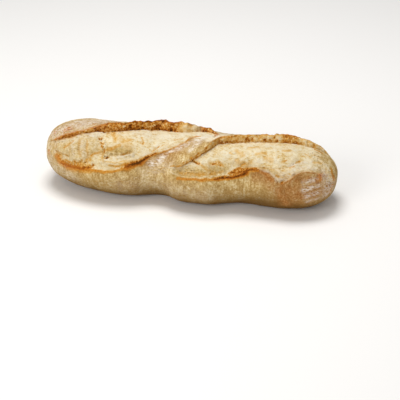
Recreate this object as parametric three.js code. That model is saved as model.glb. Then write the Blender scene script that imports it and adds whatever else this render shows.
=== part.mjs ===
// A long loaf of rustic bread, slashed twice across its top before baking, so that two openings of
// pale crumb show between raised flaps of crust. Millimetres. The loaf lies along X, its front faces
// -Y, and it rests on Z = 0.
//
// A place on the crust is given by x, and by girth: the distance round the section from the crown,
// positive down the front and negative down the back, on a scale where the middle of the underside
// is 130 either way. Each table below lists [x, value] and is joined by a smooth curve.
import * as THREE from "three";

// ---- the plain body
const LEFT_END = -153.5;
const RIGHT_END = 155;
const HALF_GIRTH = 130;
const LEFT_CAP = { length: 80, power: 0.3 };
const RIGHT_CAP = { length: 60, power: 0.38 };
const BELLY_LEVEL = 0.42; // height of the widest line, as a share of the crown's
const UNDER_DEPTH = 1.16; // how far the under curve would reach below it before the flat base cuts it
const FRONT_WIDTH = smooth([
  [-154, 47], [-120, 49], [-80, 51.5], [-52, 48], [-29, 40.4], [-20, 40.6], [-2, 48.6], [25, 51], [54, 43],
  [82, 45], [110, 46.5], [155, 45],
]);
const BACK_WIDTH = smooth([[-154, 47], [-100, 48], [-30, 47], [60, 47], [155, 45]]);
const CROWN_HEIGHT = smooth([
  [-154, 68.6], [-128, 68.6], [-106, 66.4], [-84, 64.6], [-58, 63.6], [-25, 61], [20, 63],
  [60, 61.3], [110, 61.8], [155, 60],
]);
const SPINE_OFFSET = smooth([[-154, 5], [-100, 2], [-60, 0], [0, 0], [50, 2], [90, 4], [155, 3]]);
const WAIST_TUCK = smooth([
  [-154, 0], [-120, 0.2], [-88, 0.6], [-60, 0.3], [-42, 0.7], [-24, 1.6], [-10, 0.6], [5, 0],
  [28, 0], [46, 0.6], [64, 1.7], [84, 0.9], [110, 0.7], [135, 0], [155, 0],
]);

// ---- the lines of the two slashes, back to front, as girth
const LEFT_FLAP_LINE = smooth([
  [-154, 38], [-140, 34.5], [-128, 30.7], [-107, 20.5], [-92, 12], [-80, 10], [-67, 6],
  [-53, -1.5], [-39, -10.5], [-30, -14.5], [-18, -13], [-7, -13], [2, -19], [9, -22],
  [18, -18], [30, -10], [60, -36], [155, -62],
]);
const LEFT_LIP_LINE = smooth([
  [-154, 51], [-134, 53.5], [-123, 59.8], [-98, 58.2], [-76, 57.2], [-60, 54.2], [-46, 47.8],
  [-33, 38], [-19, 23.2], [-4.6, 7], [4, -0.5], [17, -2], [30, -3], [60, -20], [155, -46],
]);
const RIGHT_FLAP_LINE = smooth([
  [-154, 72], [-98, 71], [-60, 67], [-30, 56], [-10, 46.5], [0.8, 44.4], [10, 38.7], [19, 31.7],
  [28, 21.5], [35, 11], [43, 7.4], [59, 2.2], [79, -2.4], [99, -5.2], [119, -10], [130, -14],
  [140, -25], [155, -32],
]);
const RIGHT_LIP_LINE = smooth([
  [-154, 90], [-98, 88], [-60, 80], [-30, 65], [-10, 53], [5, 54.8], [23, 54.6], [49, 53.8], [58, 51.2],
  [72, 44.4], [80, 42.6], [91, 44.8], [98, 50], [103.5, 54], [108, 52], [117, 44.2],
  [122, 40.5], [131, 37.2], [145, 37.5], [155, 39],
]);

// ---- how far each edge stands up from the body
const LEFT_FLAP_HEIGHT = smooth([
  [-154, 0], [-142, 0.4], [-128, 3], [-100, 3.6], [-90, 5.4], [-80, 8.2], [-50, 9.2], [-20, 9.6],
  [-7, 10], [0.5, 7], [8, 5.2], [18, 4], [26, 2], [32, 0], [155, 0],
]);
const RIGHT_FLAP_HEIGHT = smooth([
  [-154, 0], [-14, 0], [-8, 2.2], [0, 4.4], [20, 5.6], [32, 6.6], [45, 7.6], [102, 7.6],
  [118, 6.6], [130, 5], [140, 2], [147, 0], [155, 0],
]);
const LEFT_LIP_HEIGHT = smooth([
  [-154, 0], [-138, 0.6], [-125, 2], [-95, 2.2], [-75, 1.9], [-35, 1.6], [-10, 1.2], [5, 0.8],
  [25, 0.3], [32, 0], [155, 0],
]);
const RIGHT_LIP_HEIGHT = smooth([
  [-154, 0], [-12, 0], [-5, 0.9], [20, 1.3], [50, 1.6], [62, 3], [76, 3.3], [86, 2.2],
  [100, 1.2], [112, 1.6], [125, 1.9], [140, 1.5], [148, 0], [155, 0],
]);
const FLAP_ROOT = 34; // girth over which the crust climbs to a flap's rim
const LIP_ROOT = 12; // girth over which a lip settles back into the crust below it
const UNEVEN = 0.07; // a flap's height wanders by this share

// A flap's torn edge from its crust side down to the crumb: girth ahead of the flap's line, and
// height as a share of the flap's own, both for a flap of full height.
const FULL_FLAP = 9;
const FLAP_EDGE = [
  { ahead: -4.6, share: 0.9 },
  { ahead: -2.6, share: 1.02 },
  { ahead: -0.6, share: 0.93 },
  { ahead: -0.9, share: 0.5 },
  { ahead: -1.3, share: 0.08 },
  { ahead: 0.4, share: -0.14 },
];
const LIP_EDGE = [
  { ahead: -1.2, share: -0.25 },
  { ahead: 0.2, share: 0.75 },
  { ahead: 1.6, share: 1 },
];
const EDGE_GAP = 1.4; // girth from the last column of an edge to the next one
const FOOT_LIMIT = 0.92; // share of the half girth beyond which a foot isn't looked for

// Soft swellings and hollows: where, how far they reach each way, and how high they stand.
const SWELLINGS = [
  { x: -111, girth: 42, reachX: 20, reachGirth: 16, height: 3.6 }, // lump of crumb, left opening
  { x: -87, girth: 34, reachX: 5, reachGirth: 16, height: -3 }, // tear beside the lump
  { x: -74, girth: 42, reachX: 13, reachGirth: 8, height: -2.6 }, // hollow over the lip
  { x: -62, girth: 50, reachX: 16, reachGirth: 4.5, height: 1.4 }, // fold under the hollow
  { x: -47, girth: 18, reachX: 26, reachGirth: 13, height: 3.6 }, // smooth bulge of crumb
  { x: -14, girth: 0, reachX: 14, reachGirth: 8, height: 1.8 }, // crumb at the narrow end
  { x: 86, girth: 20, reachX: 44, reachGirth: 12, height: 3.8 }, // dome of crumb, right opening
  { x: 30, girth: 38, reachX: 20, reachGirth: 10, height: 1.6 }, // slope at its left tip
  { x: 92, girth: 34, reachX: 26, reachGirth: 4, height: -1.8 }, // crease under the dome
  { x: 98, girth: 46, reachX: 12, reachGirth: 5, height: 0.8 }, // strip above the dip in the lip
  { x: 81, girth: 56, reachX: 9, reachGirth: 9, height: 2 }, // knob of crust under the lip
  { x: 125, girth: 62, reachX: 24, reachGirth: 22, height: 1.6 }, // browned bulge, right end
  { x: 6, girth: 18, reachX: 20, reachGirth: 16, height: 1.6 }, // arched strip between openings
];

// ---- the mesh
const SECTION_STEPS = 240;
const CAP_SHARES = [0.13, 0.25, 0.37, 0.49, 0.6];
const MIDDLE_STATIONS = 74;
const CELLS = {
  backCrust: 7,
  leftFlapRoot: 5,
  leftCrumb: 10,
  strip: 8,
  rightCrumb: 9,
  frontCrust: 9,
  halfBase: 2,
};

// A curve through the points of a table that never overshoots them.
function smooth(table) {
  const slopes = table.slice(1).map(([x, y], i) => (y - table[i][1]) / (x - table[i][0]));
  const tangents = table.map((point, i) => {
    if (i === 0) return slopes[0];
    if (i === slopes.length) return slopes[i - 1];
    const before = slopes[i - 1];
    const after = slopes[i];
    return before * after <= 0 ? 0 : (2 * before * after) / (before + after);
  });
  return (x) => {
    const i = Math.min(Math.max(table.findIndex((point) => point[0] > x), 1), slopes.length) - 1;
    const step = table[i + 1][0] - table[i][0];
    const t = THREE.MathUtils.clamp((x - table[i][0]) / step, 0, 1);
    const rise = t * t * (3 - 2 * t);
    const bendIn = t * (1 - t) * (1 - t) * step;
    const bendOut = t * t * (t - 1) * step;
    return (
      table[i][1] * (1 - rise) + table[i + 1][1] * rise + tangents[i] * bendIn + tangents[i + 1] * bendOut
    );
  };
}

// 1 along the middle of the loaf, falling to 0 at each rounded end.
function fullness(x) {
  const cap = x > 0 ? RIGHT_CAP : LEFT_CAP;
  const inward = (x > 0 ? RIGHT_END - x : x - LEFT_END) / cap.length;
  return inward >= 1 ? 1 : Math.max(1e-9, 1 - (1 - inward) ** 2) ** cap.power;
}

// The x at which an end has a given fullness.
function capStation(cap, end, share) {
  const inward = 1 - Math.sqrt(1 - share ** (1 / cap.power));
  return end - Math.sign(end) * inward * cap.length;
}

// The plain section at x, from the underside's middle up the back, over the crown and down the front.
function sectionAt(x) {
  const full = fullness(x);
  const crown = CROWN_HEIGHT(x);
  const belly = BELLY_LEVEL * crown;
  const underPower = 1 + 0.4 * WAIST_TUCK(x);
  const pivot = 0.5 * crown + (x < 0 ? 2 : 0) * Math.min(1, (1 - full) / 0.2);
  const points = [];
  for (let i = 0; i <= SECTION_STEPS; i++) {
    const angle = Math.PI * ((2 * i) / SECTION_STEPS - 1);
    const across = Math.sin(angle);
    const up = Math.cos(angle);
    const width = across > 0 ? FRONT_WIDTH(x) : BACK_WIDTH(x);
    const tuck = across > 0 ? underPower : 1;
    const rise = up > 0 ? up ** 0.95 * (crown - belly) : -(Math.abs(up) ** tuck) * belly * UNDER_DEPTH;
    const y = SPINE_OFFSET(x) - Math.sign(across) * Math.abs(across) ** 0.95 * width * full;
    points.push(new THREE.Vector2(y, pivot + (belly + rise - pivot) * full));
  }
  const outline = cutFlat(points);
  const along = [0];
  outline.slice(1).forEach((point, i) => along.push(along[i] + point.distanceTo(outline[i])));
  return { points: outline, along, crownAt: along[SECTION_STEPS / 2], full: along[SECTION_STEPS] };
}

// Cuts a section off flat at z = 0, with a point just where the curve meets the base.
function cutFlat(points) {
  return points.map((point, i) => {
    if (point.y > 0) return point;
    const above = [points[i - 1], points[i + 1]].find((neighbour) => neighbour?.y > 0);
    if (!above) return new THREE.Vector2(point.x, 0);
    return above.clone().lerp(point, above.y / (above.y - point.y));
  });
}

// Distance along a section's outline for a girth.
function distanceAt(section, girth) {
  const reach = girth > 0 ? section.full - section.crownAt : section.crownAt;
  return section.crownAt + (girth / HALF_GIRTH) * reach;
}

// A point of the section's outline.
function outlinePoint(section, distance) {
  const last = section.along.length - 1;
  const wanted = THREE.MathUtils.clamp(distance, 0, section.full);
  const i = Math.min(Math.max(section.along.findIndex((d) => d > wanted), 1), last);
  const share = (wanted - section.along[i - 1]) / (section.along[i] - section.along[i - 1] || 1);
  return section.points[i - 1].clone().lerp(section.points[i], share);
}

// The girth at which the section meets the flat base, at the front (side 1) or the back (side -1).
function footGirth(section, side) {
  const { points, along, crownAt, full } = section;
  const reach = side > 0 ? full - crownAt : crownAt;
  const touching = points.map((point, i) => (point.y < 1e-9 ? Math.abs(along[i] - crownAt) : reach));
  const own = touching.filter((unused, i) => (i - SECTION_STEPS / 2) * side > 0);
  return side * HALF_GIRTH * Math.min(Math.min(...own) / reach, FOOT_LIMIT);
}

// A gentle unevenness between -1 and 1.
function wander(x, phase) {
  return 0.6 * Math.sin(x * 0.19 + phase) + 0.4 * Math.sin(x * 0.43 + phase * 2.7);
}

function flapHeight(height, x, phase) {
  return height(x) * (1 + UNEVEN * wander(x, phase));
}

// How far the crust stands out from the plain body, away from the edges themselves.
function swelling(x, girth) {
  return SWELLINGS.reduce((sum, lump) => {
    const far = ((x - lump.x) / lump.reachX) ** 2 + ((girth - lump.girth) / lump.reachGirth) ** 2;
    return sum + lump.height * Math.exp(-far);
  }, 0);
}

// Level columns of equal width from one girth up to, but not on, another.
function spread(from, to, cells) {
  return Array.from({ length: cells }, (unused, i) => ({ girth: from + ((to - from) * i) / cells, out: 0 }));
}

// The columns of a flap's torn edge.
function flapEdge(line, height) {
  const size = 0.25 + (0.75 * height) / FULL_FLAP;
  return FLAP_EDGE.map(({ ahead, share }) => ({ girth: line + ahead * size, out: share * height }));
}

// The columns of a lip: a small groove, then its ridge.
function lipEdge(line, height) {
  return LIP_EDGE.map(({ ahead, share }) => ({ girth: line + ahead, out: share * height }));
}

// How high the crust behind a flap's edge has climbed towards it.
function climb(edge, girth) {
  const behind = edge.girth - girth;
  return behind > 0 ? edge.out * Math.max(0, 1 - behind / FLAP_ROOT) ** 1.7 : 0;
}

// How high the crust ahead of a lip's ridge still stands.
function settle(ridge, girth) {
  const ahead = girth - ridge.girth;
  return ahead > 0 ? ridge.out * Math.max(0, 1 - ahead / LIP_ROOT) ** 1.5 : 0;
}

// All columns round the section at x, from the back foot over the crown to the front foot and back.
function columnsAt(x, section) {
  const backFoot = footGirth(section, -1);
  const frontFoot = footGirth(section, 1);
  const leftEdge = flapEdge(LEFT_FLAP_LINE(x), flapHeight(LEFT_FLAP_HEIGHT, x, 0.4));
  const rightEdge = flapEdge(RIGHT_FLAP_LINE(x), flapHeight(RIGHT_FLAP_HEIGHT, x, 2.2));
  const leftLip = lipEdge(LEFT_LIP_LINE(x), LEFT_LIP_HEIGHT(x));
  const rightLip = lipEdge(RIGHT_LIP_LINE(x), RIGHT_LIP_HEIGHT(x));
  const root = Math.max(leftEdge[0].girth - FLAP_ROOT, backFoot * 0.75);
  const columns = [
    ...spread(backFoot, root, CELLS.backCrust),
    ...spread(root, leftEdge[0].girth, CELLS.leftFlapRoot),
    ...leftEdge,
    ...spread(leftEdge.at(-1).girth + EDGE_GAP, leftLip[0].girth, CELLS.leftCrumb),
    ...leftLip,
    ...spread(leftLip.at(-1).girth + EDGE_GAP, rightEdge[0].girth, CELLS.strip),
    ...rightEdge,
    ...spread(rightEdge.at(-1).girth + EDGE_GAP, rightLip[0].girth, CELLS.rightCrumb),
    ...rightLip,
    ...spread(rightLip.at(-1).girth + EDGE_GAP, frontFoot, CELLS.frontCrust),
    ...spread(frontFoot, HALF_GIRTH, CELLS.halfBase),
    ...spread(-HALF_GIRTH, backFoot, CELLS.halfBase),
  ];
  const raise = (girth) =>
    climb(leftEdge[0], girth) +
    climb(rightEdge[0], girth) +
    settle(leftLip.at(-1), girth) +
    settle(rightLip.at(-1), girth);
  return columns.map(({ girth, out }) => ({ girth, out: out + raise(girth) }));
}

// A point of the loaf's skin: the plain outline, moved straight out from it.
function skinPoint(x, section, { girth, out }) {
  const distance = distanceAt(section, girth);
  const point = outlinePoint(section, distance);
  const ahead = outlinePoint(section, distance + 1.5).sub(outlinePoint(section, distance - 1.5));
  const length = ahead.length() || 1;
  const lift = (out + swelling(x, girth)) * Math.min(1, section.full / 150);
  const y = point.x + (ahead.y / length) * lift;
  const z = point.y - (ahead.x / length) * lift;
  return new THREE.Vector3(x, y, Math.max(0, z));
}

// One closed ring of points round the loaf at x.
function ringAt(x) {
  const section = sectionAt(x);
  return columnsAt(x, section).map((column) => skinPoint(x, section, column));
}

// The stations along the loaf: close together where the ends round over.
function stations() {
  const left = CAP_SHARES.map((share) => capStation(LEFT_CAP, LEFT_END, share));
  const right = CAP_SHARES.map((share) => capStation(RIGHT_CAP, RIGHT_END, share)).reverse();
  const from = left[left.length - 1];
  const step = (right[0] - from) / MIDDLE_STATIONS;
  const middle = Array.from({ length: MIDDLE_STATIONS - 1 }, (unused, i) => from + step * (i + 1));
  return [...left, ...middle, ...right];
}

// The point where an end closes.
function tip(x, ring) {
  const centre = ring.reduce((sum, point) => sum.add(point), new THREE.Vector3());
  return centre.divideScalar(ring.length).setX(x);
}

// Two triangles for each cell, split along its shorter diagonal.
function cellFaces(points, a, b, c, d) {
  const split = points[a].distanceTo(points[c]) < points[b].distanceTo(points[d]);
  return split ? [a, b, c, a, c, d] : [a, b, d, b, c, d];
}

function loafGeometry() {
  const along = stations();
  const rings = along.map(ringAt);
  const round = rings[0].length;
  const points = rings.flat();
  const leftTip = points.push(tip(LEFT_END, rings[0])) - 1;
  const rightTip = points.push(tip(RIGHT_END, rings[rings.length - 1])) - 1;
  const index = [];
  for (let j = 0; j < round; j++) {
    const next = (j + 1) % round;
    for (let i = 0; i + 1 < rings.length; i++) {
      const here = i * round;
      const there = here + round;
      index.push(...cellFaces(points, here + j, here + next, there + next, there + j));
    }
    const last = (rings.length - 1) * round;
    index.push(leftTip, next, j);
    index.push(rightTip, last + j, last + next);
  }
  const geometry = new THREE.BufferGeometry().setFromPoints(points).setIndex(index);
  geometry.computeBoundingBox();
  const middle = geometry.boundingBox.getCenter(new THREE.Vector3());
  geometry.translate(-middle.x, -middle.y, 0);
  geometry.computeVertexNormals();
  return geometry;
}

const crust = new THREE.MeshStandardMaterial({ color: 0xc9a468, roughness: 0.9, metalness: 0 });
const loaf = new THREE.Mesh(loafGeometry(), crust);
loaf.name = "loaf";

const model = new THREE.Group();
model.add(loaf);

export default model;
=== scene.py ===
# %% [markdown]
# # A long rustic loaf
# A free-form white loaf, about 31 cm long. The baker slashed it twice across the top just before
# it went into the oven. Each cut opened as the loaf rose: its back edge lifted into a flap of
# crust with a torn, toasted face, its front edge browned into a low lip, and pale crumb swelled up
# between the two. A strip of floured crust still runs aslant between the openings. This lesson
# shapes the loaf's skin on a fine grid, marks where it is crumb, toast or flour, and then builds
# one material that reads those marks.

# %% Load the solid loaf and note its box
import math

import bmesh
import bpy
import numpy as np
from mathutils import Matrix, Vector, noise


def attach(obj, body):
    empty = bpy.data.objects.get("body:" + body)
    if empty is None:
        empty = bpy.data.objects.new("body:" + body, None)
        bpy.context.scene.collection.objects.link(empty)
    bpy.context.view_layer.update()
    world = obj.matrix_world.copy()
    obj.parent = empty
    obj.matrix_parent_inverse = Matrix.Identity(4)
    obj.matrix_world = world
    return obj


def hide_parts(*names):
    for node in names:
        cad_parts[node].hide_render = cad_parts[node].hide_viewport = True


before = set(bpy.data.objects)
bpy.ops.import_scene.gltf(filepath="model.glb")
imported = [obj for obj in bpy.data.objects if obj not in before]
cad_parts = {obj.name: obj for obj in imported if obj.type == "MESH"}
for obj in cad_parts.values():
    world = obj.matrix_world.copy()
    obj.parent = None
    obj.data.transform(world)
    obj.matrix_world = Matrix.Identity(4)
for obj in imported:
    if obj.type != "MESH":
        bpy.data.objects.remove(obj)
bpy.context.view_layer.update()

# %% [markdown]
# ## Where the pattern of the loaf is written down
# A loaf has no straight edge to measure from, so a place on its skin is given by two numbers in
# millimetres: x along the loaf, and girth, the distance round it from the crown. Girth is positive
# down the front, negative down the back, and 130 in the middle of the underside. Every size that
# changes along the loaf is a short table of [x, value] pairs, joined by a curve that never
# overshoots its points. A spline could do the same, but it would bulge between close points.


# %% A smooth curve through a short table
def smooth(*table):
    along, values = np.array(table, float).T
    slopes = np.diff(values) / np.diff(along)
    before, after = slopes[:-1], slopes[1:]
    total = np.where(before + after == 0, 1, before + after)
    inner = np.where(before * after <= 0, 0, 2 * before * after / total)
    tangents = np.concatenate([slopes[:1], inner, slopes[-1:]])

    def curve(x):
        x = np.asarray(x, float)
        i = np.clip(np.searchsorted(along, x, side="right") - 1, 0, len(slopes) - 1)
        step = along[i + 1] - along[i]
        t = np.clip((x - along[i]) / step, 0, 1)
        rise = t * t * (3 - 2 * t)
        bend = tangents[i] * t * (1 - t) ** 2 + tangents[i + 1] * t * t * (t - 1)
        return values[i] * (1 - rise) + values[i + 1] * rise + bend * step

    return curve


print("halfway up a table from (0, 0) to (2, 1):", float(smooth((0, 0), (2, 1))(1)))


# %% The sizes of the plain body, in millimetres
LEFT_END, RIGHT_END, HALF_GIRTH = -153.5, 155.0, 130.0
LEFT_ROUNDING, RIGHT_ROUNDING = (80, 0.3), (60, 0.38)  # length that an end closes over, bluntness
BODY_MIDDLE = (0.75, -0.42)  # the body is drawn off centre, so it is moved by this at the end
BELLY_LEVEL, UNDER_DEPTH = 0.42, 1.16  # the widest line and the underside, by the crown's height
front_width = smooth(
    (-154, 47), (-120, 49), (-80, 51.5), (-52, 48), (-29, 40.4), (-20, 40.6), (-2, 48.6),
    (25, 51), (54, 43), (82, 45), (110, 46.5), (155, 45))
back_width = smooth((-154, 47), (-100, 48), (-30, 47), (60, 47), (155, 45))
crown_height = smooth(
    (-154, 68.6), (-128, 68.6), (-106, 66.4), (-84, 64.6), (-58, 63.6), (-25, 61), (20, 63),
    (60, 61.3), (110, 61.8), (155, 60))
spine_offset = smooth((-154, 5), (-100, 2), (-60, 0), (0, 0), (50, 2), (90, 4), (155, 3))
waist_tuck = smooth(
    (-154, 0), (-120, 0.2), (-88, 0.6), (-60, 0.3), (-42, 0.7), (-24, 1.6), (-10, 0.6), (5, 0),
    (28, 0), (46, 0.6), (64, 1.7), (84, 0.9), (110, 0.7), (135, 0), (155, 0))
print("the plain body is", RIGHT_END - LEFT_END, "mm long")

# %% The lines of the two slashes, and how far their edges stand up
left_flap_line = smooth(
    (-154, 38), (-140, 34.5), (-128, 30.7), (-107, 20.5), (-92, 12), (-80, 10), (-67, 6),
    (-53, -1.5), (-39, -10.5), (-30, -14.5), (-18, -13), (-7, -13), (2, -19), (9, -22),
    (18, -18), (30, -10), (60, -36), (155, -62))
left_lip_line = smooth(
    (-154, 51), (-134, 53.5), (-123, 59.8), (-98, 58.2), (-76, 57.2), (-60, 54.2), (-46, 47.8),
    (-33, 38), (-19, 23.2), (-4.6, 7), (4, -0.5), (17, -2), (30, -3), (60, -20), (155, -46))
right_flap_line = smooth(
    (-154, 72), (-98, 71), (-60, 67), (-30, 56), (-10, 46.5), (0.8, 44.4), (10, 38.7),
    (19, 31.7), (28, 21.5), (35, 11), (43, 7.4), (59, 2.2), (79, -2.4), (99, -5.2),
    (119, -10), (130, -14), (140, -25), (155, -32))
right_lip_line = smooth(
    (-154, 90), (-98, 88), (-60, 80), (-30, 65), (-10, 53), (5, 54.8), (23, 54.6), (49, 53.8),
    (58, 51.2), (72, 44.4), (80, 42.6), (91, 44.8), (98, 50), (103.5, 54), (108, 52),
    (117, 44.2), (122, 40.5), (131, 37.2), (145, 37.5), (155, 39))
left_flap_height = smooth(
    (-154, 0), (-142, 0.4), (-128, 3), (-100, 3.6), (-90, 5.4), (-80, 8.2), (-50, 9.2),
    (-20, 9.6), (-7, 10), (0.5, 7), (8, 5.2), (18, 4), (26, 2), (32, 0), (155, 0))
right_flap_height = smooth(
    (-154, 0), (-14, 0), (-8, 2.2), (0, 4.4), (20, 5.6), (32, 6.6), (45, 7.6), (102, 7.6),
    (118, 6.6), (130, 5), (140, 2), (147, 0), (155, 0))
left_lip_height = smooth(
    (-154, 0), (-138, 0.6), (-125, 2), (-95, 2.2), (-75, 1.9), (-35, 1.6), (-10, 1.2), (5, 0.8),
    (25, 0.3), (32, 0), (155, 0))
right_lip_height = smooth(
    (-154, 0), (-12, 0), (-5, 0.9), (20, 1.3), (50, 1.6), (62, 3), (76, 3.3), (86, 2.2),
    (100, 1.2), (112, 1.6), (125, 1.9), (140, 1.5), (148, 0), (155, 0))
FLAP_ROOT, LIP_ROOT = 34, 12  # how far behind a flap, or in front of a lip, the skin climbs
FULL_FLAP = 9  # the height at which a flap's edge has its full overhang and roughness
print("the left flap stands", round(float(left_flap_height(-50)), 1), "mm high at its middle")

# %% Broad swellings and hollows: x, girth, reach along, reach round, height
SWELLINGS = np.array([
    (-111, 42, 20, 16, 3.6),  # lump of crumb, left opening
    (-87, 34, 5, 16, -3),  # tear beside the lump
    (-74, 42, 13, 8, -2.6),  # hollow over the lip
    (-62, 50, 16, 4.5, 1.4),  # fold under the hollow
    (-47, 18, 26, 13, 3.6),  # smooth bulge of crumb
    (-14, 0, 14, 8, 1.8),  # crumb at the narrow end
    (86, 20, 44, 12, 3.8),  # dome of crumb, right opening
    (30, 38, 20, 10, 1.6),  # slope at its left tip
    (92, 34, 26, 4, -1.8),  # crease under the dome
    (98, 46, 12, 5, 0.8),  # strip above the dip in the lip
    (81, 56, 9, 9, 2),  # knob of crust under the lip
    (125, 62, 24, 22, 1.6),  # browned bulge, right end
    (6, 18, 20, 16, 1.6),  # arched strip between the openings
])


def swelling(x, girth):
    total = 0
    for at_x, at_girth, reach_x, reach_girth, height in SWELLINGS:
        far = ((x - at_x) / reach_x) ** 2 + ((girth - at_girth) / reach_girth) ** 2
        total = total + height * np.exp(-far)
    return total


print(len(SWELLINGS), "swellings, the highest", SWELLINGS[:, 4].max(), "mm")

# %% [markdown]
# ## The camera first
# The loaf is seen from its front, a little to the right and from well above, through a long lens,
# so that its far side hardly shrinks. The camera could be moved by eye until the outlines meet,
# but its place and lens are worked out from the photograph's perspective, so that no error of
# the eye gets into the loaf's form. Setting it first makes every later look the right one.

# %% The camera
CAMERA_PLACE = (0.26825, -1.09908, 0.5854)
CAMERA_TILT, CAMERA_TURN = 62.18, 13.16  # degrees up from straight down, and round to the left
CAMERA_LENS, SENSOR_WIDTH = 108.4, 36  # mm
bpy.ops.object.camera_add(
    location=CAMERA_PLACE, rotation=(math.radians(CAMERA_TILT), 0, math.radians(CAMERA_TURN)))
camera = bpy.context.object
camera.data.lens = CAMERA_LENS
camera.data.sensor_width = SENSOR_WIDTH
camera.data.clip_end = 20
bpy.context.scene.camera = camera
print("camera at", [round(v, 3) for v in camera.location])

# %% [markdown]
# ## The body's cross-section
# Cut anywhere, the loaf is a rounded shape: a domed top, its widest line a little below half
# height, and a curve under it that the oven's floor cut off flat. It narrows at a pinched waist.
# The ends close like a blunt egg. The outline is worked out at 240 steps, and girth is then
# measured along it, as a tape would.


# %% The plain outline at one station
OUTLINE_STEPS = 240
TURN = np.pi * (2 * np.arange(OUTLINE_STEPS + 1) / OUTLINE_STEPS - 1)
SQUARENESS = 0.95  # 1 is an ellipse, and less is squarer
LEFT_END_LIFT = 2  # mm by which the left end closes above half height
TUCK_SHARE = 0.4  # how much of the waist's tuck goes into the curve under the belly


def fullness(x):
    length, power = RIGHT_ROUNDING if x > 0 else LEFT_ROUNDING
    inward = (RIGHT_END - x if x > 0 else x - LEFT_END) / length
    return 1.0 if inward >= 1 else max(1e-9, 1 - (1 - inward) ** 2) ** power


def outline(x):
    full, crown = fullness(x), float(crown_height(x))
    belly = BELLY_LEVEL * crown
    pivot = 0.5 * crown + (LEFT_END_LIFT if x < 0 else 0) * min(1, (1 - full) / 0.2)
    across, up = np.sin(TURN), np.cos(TURN)
    width = np.where(across > 0, front_width(x), back_width(x))
    tuck = np.where(across > 0, 1 + TUCK_SHARE * waist_tuck(x), 1)
    over = np.abs(up) ** SQUARENESS * (crown - belly)
    under = -(np.abs(up) ** tuck) * belly * UNDER_DEPTH
    rise = np.where(up > 0, over, under)
    y = spine_offset(x) - np.sign(across) * np.abs(across) ** SQUARENESS * width * full
    z = np.maximum(pivot + (belly + rise - pivot) * full, 0)
    tape = np.concatenate([[0], np.cumsum(np.hypot(np.diff(y), np.diff(z)))])
    return y, z, tape


middle_outline = outline(0)
print("girth at the middle, mm:", round(middle_outline[2][-1]))

# %% [markdown]
# ## Columns round the loaf
# The skin is a grid: stations along the loaf, and columns that run from end to end. A cut edge
# stays crisp only if a line of points follows it, so the columns aren't evenly spread. They follow
# the two flaps and the two lips, with a close bundle of columns over each torn edge, and are
# shared out evenly between them. A plain grid with a displacement could bulge, but it could never
# make an edge that overhangs.

# %% Stations along the loaf, closer where the ends round over
STATION_COUNT, COLUMN_COUNT = 380, 256


def end_station(end, rounding, share):
    length, power = rounding
    return end - math.copysign(1, end) * length * (1 - math.sqrt(1 - share ** (1 / power)))


END_SHARES = np.linspace(0.04, 0.6, 16)  # how full the section is at each station of an end
left_stations = [end_station(LEFT_END, LEFT_ROUNDING, s) for s in END_SHARES]
right_stations = [end_station(RIGHT_END, RIGHT_ROUNDING, s) for s in END_SHARES[::-1]]
middle_count = STATION_COUNT - 2 * len(END_SHARES)
middle_stations = np.linspace(left_stations[-1], right_stations[0], middle_count + 2)[1:-1]
stations = np.concatenate([left_stations, middle_stations, right_stations])
print(len(stations), "stations, one every", round(float(np.diff(middle_stations)[0]), 2), "mm")

# %% A torn edge, from its crust side over the rim and down to the crumb: girth ahead, share of height
FLAP_EDGE = [
    (-4.6, 0.9), (-3.6, 0.97), (-2.7, 1.02), (-1.9, 1.02), (-1.3, 0.98), (-0.8, 0.91),
    (-0.4, 0.8), (-0.1, 0.68), (0.1, 0.55), (0.2, 0.42), (0.2, 0.3), (-0.2, 0.16),
    (-0.7, 0), (0.6, -0.14)]
LIP_EDGE = [
    (-1.4, -0.2), (-0.8, 0), (-0.3, 0.35), (0.2, 0.7), (0.7, 0.92), (1.2, 1), (1.8, 1), (2.4, 0.97)]
TORN_ROWS = np.clip((np.arange(len(FLAP_EDGE)) - 2) / 3, 0, 1)  # the rim is crust, the face is torn
FACE_ROWS = 9  # rows from the rim to the foot of a torn face
EDGE_GAP = 1.0  # mm of girth after an edge before the even columns start
BLOCKS = {  # columns in each stretch of the skin, from the back's foot over the crown to the front
    "back crust": 40, "flap root": 12, "left tear": 14, "left crumb": 40, "left lip": 8,
    "strip": 30, "right tear": 14, "right crumb": 36, "right lip": 8, "front crust": 38,
    "front base": 8, "back base": 8}
block_start = dict(zip(BLOCKS, np.cumsum([0] + list(BLOCKS.values()))))
print(sum(BLOCKS.values()), "columns in", len(BLOCKS), "blocks")


def block(name):
    return slice(int(block_start[name]), int(block_start[name]) + BLOCKS[name])


# %% Unevenness: a slow waver, and a quick raggedness with a grain in millimetres
def waver(x, phase):
    return 0.6 * math.sin(x * 0.19 + phase) + 0.4 * math.sin(x * 0.43 + phase * 2.7)


def ragged(x, girth, grain, seed):
    return noise.noise(Vector((x / grain, girth / grain, seed)))


print("waver and raggedness at the middle:", round(waver(0, 1), 2), round(ragged(0, 1, 2, 3), 2))

# %% [markdown]
# ## Torn faces
# Where the dough tore it left small holes, some of them deep. They could be cut out one by one
# with a boolean, but a torn face has hundreds. A few of the deep ones sit at known places along
# the two faces, and the rest are scattered by a seeded noise. Lips are lower and only ragged.


# %% A torn edge at one station
LEFT_HOLES = [  # x, and row down the face
    (-96, 10.5), (-92, 10), (-88, 9), (-84, 8.5), (-66.5, 9), (-62, 9.5), (-54.5, 9), (-50, 10),
    (-38, 10.5), (-23, 11)]
RIGHT_HOLES = [(37, 11), (41, 11.5), (61, 9), (63, 10.5), (78.5, 10), (91, 11)]
HOLE_REACH, HOLE_DEPTH, DEEPEST = 1.3, 2.4, 2.2  # mm


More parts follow.
